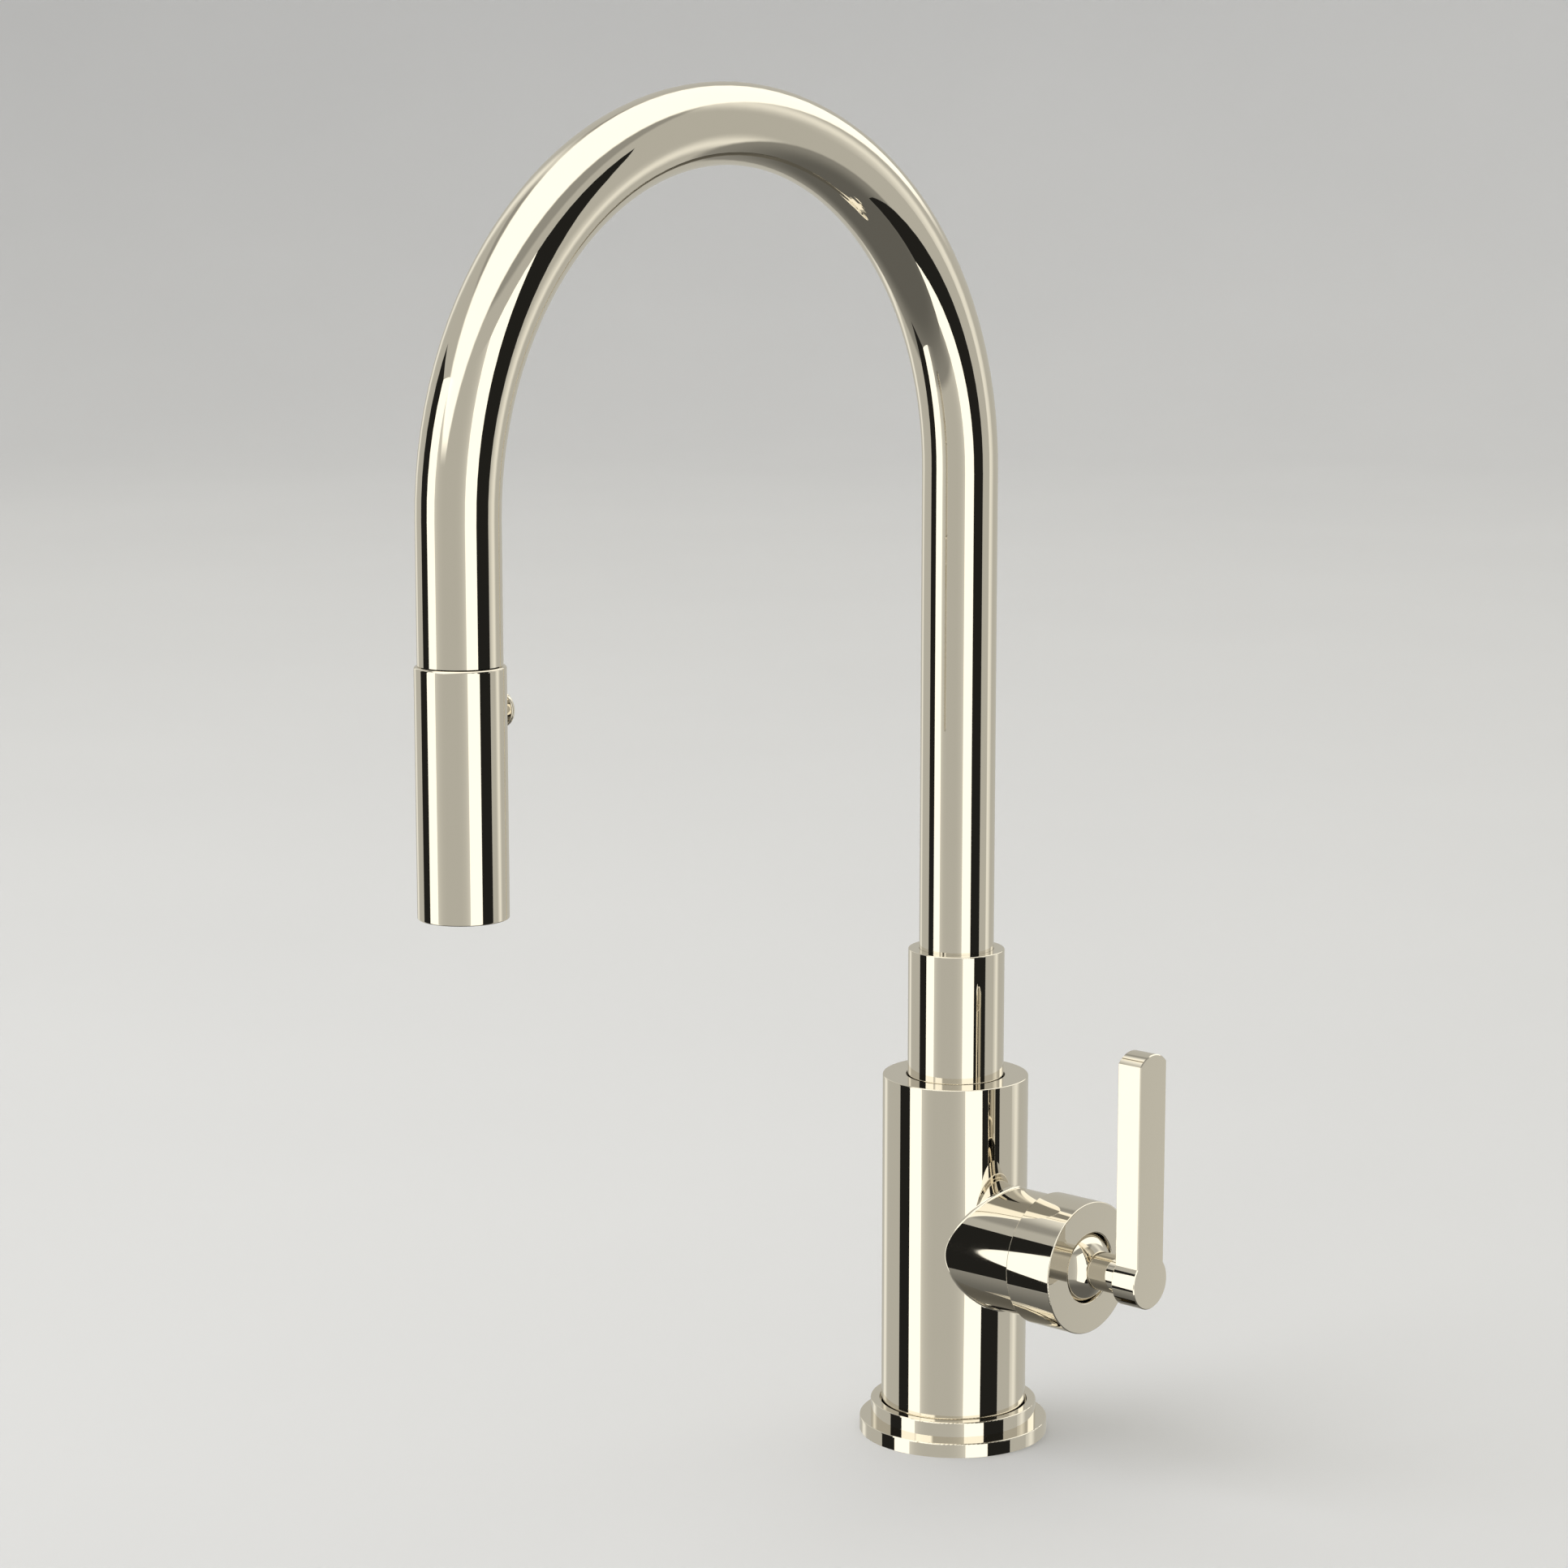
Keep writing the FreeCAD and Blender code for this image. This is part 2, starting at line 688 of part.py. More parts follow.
def make_carrier():
    """The carrier turns in the housing; its ears hold the ball's pin and its slot guides the driver."""
    carrier = turned("cartridge_carrier", VALVE, [
        (0, at.carrier_foot), (at.carrier_radius, at.carrier_foot), (at.carrier_radius, at.carrier_step),
        (at.carrier_neck, at.carrier_step), (at.carrier_neck, at.carrier_top),
        (at.carrier_bore, at.carrier_top), (at.carrier_bore, at.carrier_floor), (0, at.carrier_floor),
    ])
    slot = new_sketch(carrier, "XY_Plane", at.carrier_floor)
    side = at.driver_half + 0.1
    far = at.driver_half + at.driver_travel + 0.3
    outline(slot, [(-far, -side), (side, -side), (side, side), (-far, side)])
    pocket(carrier, slot, at.carrier_floor - at.carrier_foot)
    hole = drill(carrier, "XZ_Plane", 0, 0, at.ball_centre, at.pin_radius + at.pin_gap, at.carrier_radius * 2)
    hole.Midplane = True
    NODES["pivot_pin"] = rod("pivot_pin", at.pin_radius, at.pin_half * 2,
                             (at.ball_centre, -at.pin_half, at.valve_height, Rotation(Vector(1, 0, 0), -90)))


def make_ball():
    """Ball, stem and spindle turned in one piece, cross-drilled for the pivot pin."""
    ball = DOC.addObject("Part::Sphere", "ball_dome")
    ball.Radius = at.ball_radius.value
    ball.Angle1 = -math.degrees(math.asin(at.ball_cut.value / at.ball_radius.value))
    bind(ball, "Radius", at.ball_radius)
    ball.setExpression("Angle1", "-asin(Sizes.ball_cut / Sizes.ball_radius)")
    put_at(ball, (0, 0, at.ball_centre, Rotation()))
    stem_place = (0, 0, at.ball_centre, Rotation())
    stem = rod("ball_stem", at.stem_radius, at.lever_back - at.ball_centre, stem_place)
    spigot = rod("ball_spigot", at.spigot_radius, at.spigot_length + 1, (0, 0, at.lever_back - 1, Rotation()))
    spindle_foot = at.ball_centre - at.spindle_step
    spindle = rod("ball_spindle", at.spindle_radius, at.spindle_step, (0, 0, spindle_foot, Rotation()))
    tip_height = at.ball_centre - at.tip_arm
    neck = rod("ball_neck", at.neck_radius, at.tip_arm, (0, 0, tip_height, Rotation()))
    tip = DOC.addObject("Part::Sphere", "ball_tip")
    tip.Radius = at.tip_radius.value
    bind(tip, "Radius", at.tip_radius)
    put_at(tip, (0, 0, tip_height, Rotation()))
    blank = DOC.addObject("Part::MultiFuse", "ball_blank")
    blank.Shapes = [ball, stem, spigot, spindle, neck, tip]
    bore = rod("ball_bore", at.pin_radius + at.pin_gap, at.ball_radius * 2 + 2,
               (0, -at.ball_radius - 1, at.ball_centre, Rotation(Vector(1, 0, 0), -90)))
    whole = DOC.addObject("Part::Cut", "lever_ball")
    whole.Base = blank
    whole.Tool = bore
    put_at(whole, VALVE)
    NODES["lever_ball"] = whole


def bar_outline(sketch):
    """The lever's bar: straight sides from the valve axis up to an arched top."""
    half = at.bar_half
    rise = at.bar_peak - at.bar_corner
    radius = (half * half + rise * rise) / (rise * 2)
    centre = at.bar_peak - radius
    start = math.atan2(at.bar_corner.value - centre.value, half.value)
    corners = [(-half, 0), (half, 0), (half, at.bar_corner), (-half, at.bar_corner)]
    places = [Vector(x.value, as_size(y).value, 0) for x, y in corners]
    top = Part.Circle(Vector(0, centre.value, 0), Vector(0, 0, 1), radius.value)
    sketch.addGeometry(Part.LineSegment(places[0], places[1]))
    sketch.addGeometry(Part.LineSegment(places[1], places[2]))
    sketch.addGeometry(Part.ArcOfCircle(top, start, math.pi - start))
    sketch.addGeometry(Part.LineSegment(places[3], places[0]))
    for edge, following in ((0, 1), (1, 2), (2, 3), (3, 0)):
        sketch.addConstraint(Sketcher.Constraint("Coincident", edge, 2, following, 1))
    hold_point(sketch, 0, 1, corners[0])
    hold_point(sketch, 0, 2, corners[1])
    hold_point(sketch, 1, 2, corners[2])
    hold_point(sketch, 3, 1, corners[3])
    index = sketch.addConstraint(Sketcher.Constraint("Radius", 2, radius.value))
    sketch.setExpression(f"Constraints[{index}]", radius.text)


def make_lever():
    handle = new_body("lever_handle", LEVER)
    bar = new_sketch(handle, "YZ_Plane", at.lever_back)
    bar_outline(bar)
    pad(handle, bar, at.lever_front - at.lever_back)
    end = new_sketch(handle, "YZ_Plane", at.lever_back)
    circle(end, 0, 0, at.lever_disc)
    pad(handle, end, at.lever_front - at.lever_back)
    chamfer_faces(handle, at.bevel, (at.lever_back.value, at.lever_front.value))
    drill(handle, "YZ_Plane", at.lever_back, 0, 0, at.spigot_radius + at.running_gap,
          at.spigot_length + 0.2, back=True)
    grub_top = -at.spigot_radius - 0.1
    drill(handle, "XY_Plane", grub_top, lever_middle, 0, at.grub_radius + at.running_gap, at.lever_disc)
    grub_place = (lever_middle, 0, grub_top - at.grub_length, Rotation())
    grub = rod("grub_blank", at.grub_radius, at.grub_length, grub_place)
    key = DOC.addObject("Part::Prism", "grub_key")
    key.Polygon = 6
    key.Circumradius = 1.1
    key.Height = 2.0
    put_at(key, (lever_middle, 0, grub_top - at.grub_length, Rotation()))
    screw = DOC.addObject("Part::Cut", "handle_screw")
    screw.Base = grub
    screw.Tool = key
    put_at(screw, LEVER)
    NODES["handle_screw"] = screw


def chamfer_faces(body, width, planes):
    """Chamfer the edges that lie in the planes X = const."""
    DOC.recompute()
    base = body.Tip
    names = []
    for number, edge in enumerate(base.Shape.Edges, start=1):
        box = edge.BoundBox
        if any(abs(box.XMin - x) < 0.01 and abs(box.XMax - x) < 0.01 for x in planes):
            names.append(f"Edge{number}")
    feature = body.newObject("PartDesign::Chamfer", f"{body.Name}_chamfer")
    feature.Base = (base, names)
    feature.Size = as_size(width).value
    bind(feature, "Size", width)


def make_valve_cap():
    cap = turned("valve_cap", VALVE, [
        (at.nut_bore, at.cap_foot), (at.cap_radius, at.cap_foot), (at.cap_radius, at.cap_end),
        (at.cap_hole, at.cap_end), (at.cap_hole, at.cap_lip), (at.cap_bore, at.cap_lip),
        (at.cap_bore, at.nut_top + 0.2), (at.nut_bore, at.nut_top + 0.2),
    ])
    round_circles(cap, at.edge, [
        (at.cap_radius, at.cap_foot), (at.cap_radius, at.cap_end), (at.cap_hole, at.cap_end),
    ])
    ring("ball_wiper", VALVE, at.wiper_inner, at.cap_bore - 0.2, at.wiper_foot, at.wiper_top)


def make_swivel():
    ring("upper_bush", MAIN, at.stem_outer + at.running_gap, at.collar_bore - at.running_gap,
         at.collar_floor + 2, at.collar_foot - 0.1)
    ring("lower_bush", MAIN, at.stem_spigot + at.running_gap, at.swivel_bore - at.running_gap,
         at.swivel_floor + 0.1, at.swivel_floor + 4)
    groove_foot = at.ring_groove - at.ring_groove_width / 2
    groove_top = at.ring_groove + at.ring_groove_width / 2
    points = [
        (at.stem_inner, at.swivel_floor + 0.3), (at.stem_spigot, at.swivel_floor + 0.3),
        (at.stem_spigot, at.swivel_floor + 4.1), (at.stem_outer, at.swivel_floor + 4.1),
        (at.stem_outer, groove_foot), (at.stem_outer - 1.5, groove_foot),
        (at.stem_outer - 1.5, groove_top), (at.stem_outer, groove_top),
    ]
    for middle in (at.o_ring_low, at.o_ring_high):
        low = middle - at.o_ring_width / 2
        high = middle + at.o_ring_width / 2
        points += [(at.stem_outer, low), (at.stem_outer - 2.1, low)]
        points += [(at.stem_outer - 2.1, high), (at.stem_outer, high)]
    collar_thread = at.stem_outer + 0.35
    points += [
        (at.stem_outer, at.collar_foot + 0.1), (collar_thread, at.collar_foot + 0.1),
        (collar_thread, at.stem_top), (at.stem_inner, at.stem_top),
    ]
    turned("swivel_stem", MAIN, points)
    o_ring_half = 1.2
    seals = [(0, 0, middle, at.stem_outer - 0.88) for middle in (at.o_ring_low, at.o_ring_high)]
    o_rings("swivel_o_rings", MAIN, seals, o_ring_half)
    split_turn = 335
    ring("retaining_ring", MAIN, at.stem_outer - 1.3, at.swivel_bore + 1.1,
         groove_foot + 0.2, groove_top - 0.2, split_turn)
    collar = turned("spout_collar", MAIN, [
        (collar_thread + at.running_gap, at.collar_foot), (at.collar_radius, at.collar_foot),
        (at.collar_radius, at.collar_top), (at.tube_radius + at.running_gap, at.collar_top),
        (at.tube_radius + at.running_gap, at.stem_top + 0.2),
        (collar_thread + at.running_gap, at.stem_top + 0.2),
    ])
    round_circles(collar, at.edge, [(at.collar_radius, at.collar_top), (at.collar_radius, at.collar_foot)])


def make_spout():
    bent_pipe("spout_tube", at.tube_radius, tube_inner, at.tube_foot, at.outlet_height)
    ring("dock_bush", WAND, at.dock_inner, tube_inner - at.running_gap, at.outlet_height + 0.3, at.dock_top)
    ring("dock_magnet", WAND, at.dock_inner, tube_inner - at.running_gap, at.dock_top + 0.3, at.magnet_top)


def make_hose():
    bent_pipe("spray_hose", at.hose_radius, at.hose_bore, at.hose_end, at.hose_split + 0.2)
    turned("hose_plug", MAIN, [
        (at.hose_bore, at.hose_end - 16), (at.hose_radius - 1, at.hose_end - 16),
        (at.hose_radius - 1, at.hose_end - 9), (at.hose_radius - 0.2, at.hose_end - 8),
        (at.hose_radius - 0.2, at.hose_end - 5), (at.hose_radius + 0.9, at.hose_end - 5),
        (at.hose_radius + 0.9, at.hose_end - 0.1), (at.hose_bore, at.hose_end - 0.1),
    ])
    ring("hose_tail", WAND, at.hose_bore, at.hose_radius, at.hose_nut_top + 0.2, at.hose_split)
    ring("hose_ferrule", WAND, at.hose_radius + 0.1, at.ferrule_radius, at.hose_nut_top + 0.2, at.ferrule_top)
    ring("hose_nut", WAND, at.stream_bore, at.hose_nut_radius, at.hose_nut_foot, at.hose_nut_top)


def make_wand_core():
    core = turned("wand_core", WAND, [
        (at.aerator_radius + 0.15, at.core_foot), (at.core_radius, at.core_foot),
        (at.core_radius, at.core_groove), (at.core_radius - 1.5, at.core_groove),
        (at.core_radius - 1.5, at.core_groove + 2.2), (at.core_radius, at.core_groove + 2.2),
        (at.core_radius, at.wand_lip - 0.2), (at.core_neck, at.wand_lip - 0.2),
        (at.core_neck, at.core_top), (at.socket_bore, at.core_top),
        (at.socket_bore, at.socket_floor), (at.inlet_bore, at.socket_floor),
        (at.inlet_bore, at.inlet_floor), (at.stream_bore, at.inlet_floor),
        (at.stream_bore, at.aerator_top + 0.3), (at.aerator_radius + 0.15, at.aerator_top + 0.3),
    ])
    spray_way = 1.3
    drill(core, "XY_Plane", at.core_foot, 0, at.chamber_end + 0.6, spray_way,
          at.button_height - at.core_foot, back=True)
    chamber_front = at.chamber_end - at.chamber_lip
    drill(core, "XZ_Plane", at.chamber_start, 0, at.button_height, at.chamber_radius,
          at.chamber_start + chamber_front)
    drill(core, "XZ_Plane", -chamber_front, 0, at.button_height, at.shaft_radius + 0.2, at.chamber_lip)
    drill(core, "XZ_Plane", -at.chamber_end, 0, at.button_height, at.plunger_radius + 0.3, at.core_radius)
    o_rings("core_o_ring", WAND, [(0, 0, at.core_groove + 1.1, at.core_radius - 0.67)], 0.83)


def make_wand_face():
    face = ring("spray_face", WAND, at.aerator_radius + 0.2, at.face_radius, at.face_foot,
                at.face_foot + at.face_height)
    hole = drill(face, "XY_Plane", at.face_foot + at.face_height, at.nozzle_pitch, 0,
                 at.nozzle_radius + 0.15, at.face_height)
    repeat_round(face, hole, at.nozzle_count)
    nozzles = ring("nozzle_pad", WAND, at.aerator_radius + 0.3, at.core_radius, at.pad_foot, at.pad_top)
    nub = new_sketch(nozzles, "XY_Plane", at.pad_foot + 0.5)
    circle(nub, at.nozzle_pitch, 0, at.nozzle_radius)
    tip = pad(nozzles, nub, at.pad_foot + 0.5 - at.wand_bottom - 0.4, back=True)
    repeat_round(nozzles, tip, at.nozzle_count)
    turned("aerator", WAND, [
        (at.aerator_bore, at.aerator_foot), (at.aerator_radius, at.aerator_foot),
        (at.aerator_radius, at.aerator_top), (2.0, at.aerator_top),
        (2.0, at.aerator_top - 1.5), (at.aerator_bore, at.aerator_top - 1.5),
    ])
    make_aerator_screen()
    ring("flow_regulator", WAND, 1.2, at.aerator_bore - 0.1, at.aerator_top - 3.8, at.aerator_top - 1.6)


def make_aerator_screen():
    """A thin disc with a centre hole and three rings of holes."""
    foot = at.aerator_foot + 0.5
    height = 0.6
    hole_radius = 0.42
    screen = ring("aerator_screen", WAND, hole_radius, at.aerator_bore - 0.1, foot, foot + height)
    for pitch, count in ((1.5, 6), (3.0, 12), (4.4, 18)):
        hole = drill(screen, "XY_Plane", foot + height, pitch, 0, hole_radius, height)
        pattern = screen.newObject("PartDesign::PolarPattern", "aerator_screen_ring")
        pattern.Originals = [hole]
        pattern.Axis = (next(item for item in screen.Origin.OriginFeatures if item.Role == "Z_Axis"), [""])
        pattern.Occurrences = count
        screen.Tip = pattern


def make_wand():
    shell = turned("wand_shell", WAND, [
        (at.wand_bore, at.wand_bottom), (at.wand_radius, at.wand_bottom), (at.wand_radius, at.wand_top),
        (at.wand_mouth, at.wand_top), (at.wand_mouth, at.wand_lip), (at.wand_bore, at.wand_lip),
    ])
    round_circles(shell, at.rim, [(at.wand_radius, at.wand_top)])
    round_circles(shell, at.edge, [(at.wand_radius, at.wand_bottom), (at.wand_mouth, at.wand_top)])
    drill(shell, "XZ_Plane", 0, 0, at.button_height, at.button_neck + 0.2, at.wand_radius + 1)
    make_wand_core()
    make_wand_face()
    washer_foot = at.socket_floor + 0.05
    ring("hose_washer", WAND, at.stream_bore, at.hose_nut_radius, washer_foot, at.hose_nut_foot - 0.1)
    ring("catch_ring", WAND, at.socket_bore + 0.2, at.core_neck, at.core_top, at.core_top + 1.5)


def make_check_valve():
    foot = at.inlet_floor + 0.1
    top = at.socket_floor - 0.2
    turned("check_valve_cage", WAND, [
        (2.0, foot), (at.inlet_bore - 0.1, foot), (at.inlet_bore - 0.1, top), (2.6, top),
        (2.6, top - 1.4), (4.2, top - 1.4), (4.2, foot + 1.3), (2.0, foot + 1.3),
    ])
    turned("check_poppet", WAND, [
        (0, foot + 1.9), (1.0, foot + 1.9), (1.0, top - 3.2), (3.5, top - 3.2), (3.5, top - 1.6),
        (2.3, top - 1.6), (1.6, top - 0.4), (0, top - 0.4),
    ])
    coil("check_spring", WAND, 2.4, 0.25, foot + 1.6, 3.6, 3.6)


def sealing_land(foot):
    """Outline of one land of the spool: a lip, the groove of its ring, and a second lip."""
    land, floor = at.land_radius, at.land_radius - at.spool_groove
    groove_foot = foot + at.land_lip
    groove_top = groove_foot + at.land_groove
    return [(land, foot), (land, groove_foot), (floor, groove_foot), (floor, groove_top),
            (land, groove_top), (land, groove_top + at.land_lip)]


def make_button():
    """A thin round button on a neck, the plunger that holds it in, and the diverter spool behind them."""
    button = turned("spray_button", BUTTON, [
        (0, at.button_seat), (at.button_neck, at.button_seat), (at.button_neck, at.button_back),
        (at.button_radius, at.button_back), (at.button_radius, at.button_out), (0, at.button_out),
    ])
    round_circles(button, at.rim, [(at.button_radius, at.button_out)])
    round_circles(button, at.edge, [(at.button_radius, at.button_back)])
    spool_top = at.button_seat - at.running_gap
    plate_foot = at.button_seat - at.plunger_plate
    collar, mouth = at.button_neck - at.plunger_step, at.shaft_radius + at.plunger_step
    turned("button_plunger", BUTTON, [
        (at.plunger_bore, at.plunger_foot), (at.plunger_radius, at.plunger_foot),
        (at.plunger_radius, at.plunger_top), (collar, at.plunger_top), (collar, spool_top),
        (mouth, spool_top), (mouth, plate_foot), (at.plunger_bore, plate_foot),
    ])
    back_land = sealing_land(at.back_land)
    front_land = sealing_land(at.front_land)
    turned("diverter_spool", BUTTON, [
        (0, at.back_land), *back_land, (at.shaft_radius, back_land[-1][1]),
        (at.shaft_radius, at.front_land), *front_land, (at.shaft_radius, front_land[-1][1]),
        (at.shaft_radius, spool_top), (0, spool_top),
    ])
    to_ring = at.land_lip + at.land_groove / 2
    ring_radius = at.land_radius - at.spool_groove + at.spool_ring + at.running_gap
    o_rings("spool_seals", BUTTON, [
        (0, 0, at.back_land + to_ring, ring_radius), (0, 0, at.front_land + to_ring, ring_radius),
    ], at.spool_ring)
    coil("button_spring", BUTTON, at.return_radius, at.return_wire, at.chamber_end + at.return_gap,
         at.return_length, at.return_turns)


def check_cuts():
    """Every pocket and groove must have taken material away."""
    for item in DOC.Objects:
        if item.TypeId in ("PartDesign::Pocket", "PartDesign::Groove"):
            before = item.BaseFeature.Shape.Volume
            if item.Shape.Volume > before - 0.001:
                raise RuntimeError(f"{item.Name} cuts nothing")


def check_document():
    for item in DOC.Objects:
        if "Invalid" in item.State or "Error" in item.State:
            raise RuntimeError(f"{item.Name} failed: {item.State}")
    for name, item in NODES.items():
        shape = item.Shape
        if shape.isNull() or not shape.isValid() or not shape.Solids:
            raise RuntimeError(f"{name} has no sound shape")


def report_pipe(name, outer, inner, foot, far_end):
    """Compare a bent pipe's volume with its section times its length, and print its bend radius."""
    bend = at.reach / 2
    straight = (at.arch_start - foot) + (at.arch_start - far_end)
    length = straight.value + math.pi * bend.value
    section = math.pi * (outer.value ** 2 - inner.value ** 2)
    volume = NODES[name].Shape.Volume
    print(f"{name}: bend radius {bend.value:.1f}, length {length:.1f}, volume {volume:.0f}"
          f" against {section * length:.0f}")


def write_parts():
    os.makedirs("parts", exist_ok=True)
    for name, item in NODES.items():
        item.Label = name
        item.Shape.exportStep(f"parts/{name}.step")
    print(f"{len(NODES)} parts written")


make_base()
make_mixer_body()
make_deck_clamp()
make_cartridge()
make_ball()
make_lever()
make_valve_cap()
make_swivel()
make_spout()
make_hose()
make_wand()
make_check_valve()
make_button()
DOC.recompute()
check_document()
check_cuts()
report_pipe("spout_tube", at.tube_radius, tube_inner, at.tube_foot, at.outlet_height)
report_pipe("spray_hose", at.hose_radius, at.hose_bore, at.hose_end, at.hose_split + 0.2)
write_parts()
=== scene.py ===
import json
import math

import bpy
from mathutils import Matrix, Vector


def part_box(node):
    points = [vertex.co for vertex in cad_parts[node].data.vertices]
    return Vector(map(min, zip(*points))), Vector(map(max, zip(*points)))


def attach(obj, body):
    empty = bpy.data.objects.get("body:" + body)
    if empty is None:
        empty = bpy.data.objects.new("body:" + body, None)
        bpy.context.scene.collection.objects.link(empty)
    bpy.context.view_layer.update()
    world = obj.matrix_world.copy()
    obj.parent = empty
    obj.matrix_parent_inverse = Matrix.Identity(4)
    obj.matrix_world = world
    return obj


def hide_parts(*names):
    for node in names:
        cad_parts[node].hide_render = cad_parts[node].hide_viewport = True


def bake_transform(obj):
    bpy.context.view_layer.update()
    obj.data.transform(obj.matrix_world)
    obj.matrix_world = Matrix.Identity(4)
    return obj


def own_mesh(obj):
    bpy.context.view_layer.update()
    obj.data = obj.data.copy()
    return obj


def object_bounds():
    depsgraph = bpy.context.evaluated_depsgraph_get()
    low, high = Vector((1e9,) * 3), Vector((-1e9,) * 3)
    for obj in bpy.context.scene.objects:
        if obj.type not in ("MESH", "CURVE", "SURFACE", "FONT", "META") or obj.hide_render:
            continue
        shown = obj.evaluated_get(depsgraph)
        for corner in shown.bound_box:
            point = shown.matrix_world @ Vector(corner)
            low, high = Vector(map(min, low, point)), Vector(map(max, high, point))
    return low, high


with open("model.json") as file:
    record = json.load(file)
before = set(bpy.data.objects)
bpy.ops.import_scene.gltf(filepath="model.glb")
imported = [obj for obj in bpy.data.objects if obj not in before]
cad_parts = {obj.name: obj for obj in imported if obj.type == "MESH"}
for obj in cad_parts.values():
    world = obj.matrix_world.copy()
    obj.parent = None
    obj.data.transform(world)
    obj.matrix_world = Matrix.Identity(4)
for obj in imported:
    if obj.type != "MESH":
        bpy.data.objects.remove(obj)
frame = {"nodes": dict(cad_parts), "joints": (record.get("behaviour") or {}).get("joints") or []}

cad_low, cad_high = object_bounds()

# ---------------------------------------------------------------- camera (metres, degrees)
CAMERA_PLACE = (0.832, -1.0006, 0.4466)
CAMERA_HEADING = 42.33  # from +Y towards -X
CAMERA_TILT = 9.60  # below the horizon
CAMERA_LENS = 89.52  # mm, on Blender's 36 mm sensor

# ---------------------------------------------------------------- studio (metres, radiance)
STUDIO_TINT = (1.0, 0.973, 0.868, 1.0)
WALL_LIGHT = 0.515
SOFFIT_LIGHT = 0.33
SKY_LIGHT = 1.39
CARD_WHITE = 1.39
CARD_BLACK = 0.017
FLOOR_LIGHT_NEAR = 0.13
FLOOR_LIGHT_FAR = 0.27


def make_camera():
    """A long lens a little above the arch, looking down at the faucet from its lever side."""
    camera = bpy.data.objects.new("camera", bpy.data.cameras.new("camera"))
    camera.location = CAMERA_PLACE
    camera.rotation_euler = (math.radians(90 - CAMERA_TILT), 0, math.radians(CAMERA_HEADING))
    camera.data.lens = CAMERA_LENS
    bpy.context.collection.objects.link(camera)
    bpy.context.scene.camera = camera


# ---------------------------------------------------------------- node helpers
class Shader:
    """A node tree with one short call per node."""

    def __init__(self, owner):
        owner.use_nodes = True
        self.tree = owner.node_tree
        self.tree.nodes.clear()

    def add(self, kind, inputs=(), **settings):
        """A node of that kind. inputs are (socket, value or output socket) pairs."""
        made = self.tree.nodes.new(kind)
        for key, value in settings.items():
            setattr(made, key, value)
        for socket, value in dict(inputs).items():
            self.feed(made.inputs[socket], value)
        return made

    def feed(self, socket, value):
        if isinstance(value, bpy.types.NodeSocket):
            self.tree.links.new(value, socket)
        else:
            socket.default_value = value

    def sum(self, operation, *values):
        """The result of a Math node."""
        return self.add("ShaderNodeMath", dict(enumerate(values)), operation=operation).outputs[0]

    def along(self, vector, axis):
        """How far the vector reaches along the axis."""
        inputs = {0: vector, 1: axis}
        return self.add("ShaderNodeVectorMath", inputs, operation="DOT_PRODUCT").outputs["Value"]

    def steps(self, value, low, high, to_low=0.0, to_high=1.0):
        """value carried smoothly from low..high to to_low..to_high, and held past both ends."""
        inputs = {"Value": value, "From Min": low, "From Max": high, "To Min": to_low, "To Max": to_high}
        return self.add("ShaderNodeMapRange", inputs, interpolation_type="SMOOTHSTEP").outputs[0]

    def edge(self, value, place, blur):
        """0 below place and 1 above it, blurred by blur's two offsets."""
        return self.steps(value, place + blur[0], place + blur[1])

    def bumped(self, height, strength, distance):
        """A normal that follows the height."""
        inputs = {"Height": height, "Strength": strength, "Distance": distance}
        return self.add("ShaderNodeBump", inputs).outputs[0]

    def mixed(self, share, low, high):
        """low where share is 0, high where it is 1."""
        inputs = {0: share, 2: low, 3: high}
        return self.add("ShaderNodeMix", inputs, data_type="FLOAT").outputs[0]


# ---------------------------------------------------------------- studio
# Heights in the room are the Z of a unit direction, and an edge is how far below and above it blurs.
SKY_SLOPE_RIGHT = 1.7  # the wall on +X ends at this times the direction's X
SKY_SLOPE_LEFT = 1.3
SKY_LOWEST = 0.17
SKY_EDGE = (-0.04, 0.10)
SOFFIT_FROM = 0.67
SOFFIT_EDGE = (-0.02, 0.04)
FLOOR_BELOW = -0.545
FLOOR_EDGE = (-0.02, 0.05)
FLOOR_DARKEST_AT = -0.85
GLOWS = ((-104.0, 0.45), (152.0, 0.40))  # heading from -Y towards +X, and light
GLOW_WIDTH = 0.2
GLOW_DEPTH = 0.3  # how far ahead a glow reaches its full light


def toward(heading):
    """The level direction at that heading, from -Y towards +X."""
    turned = math.radians(heading)
    return math.sin(turned), -math.cos(turned), 0.0


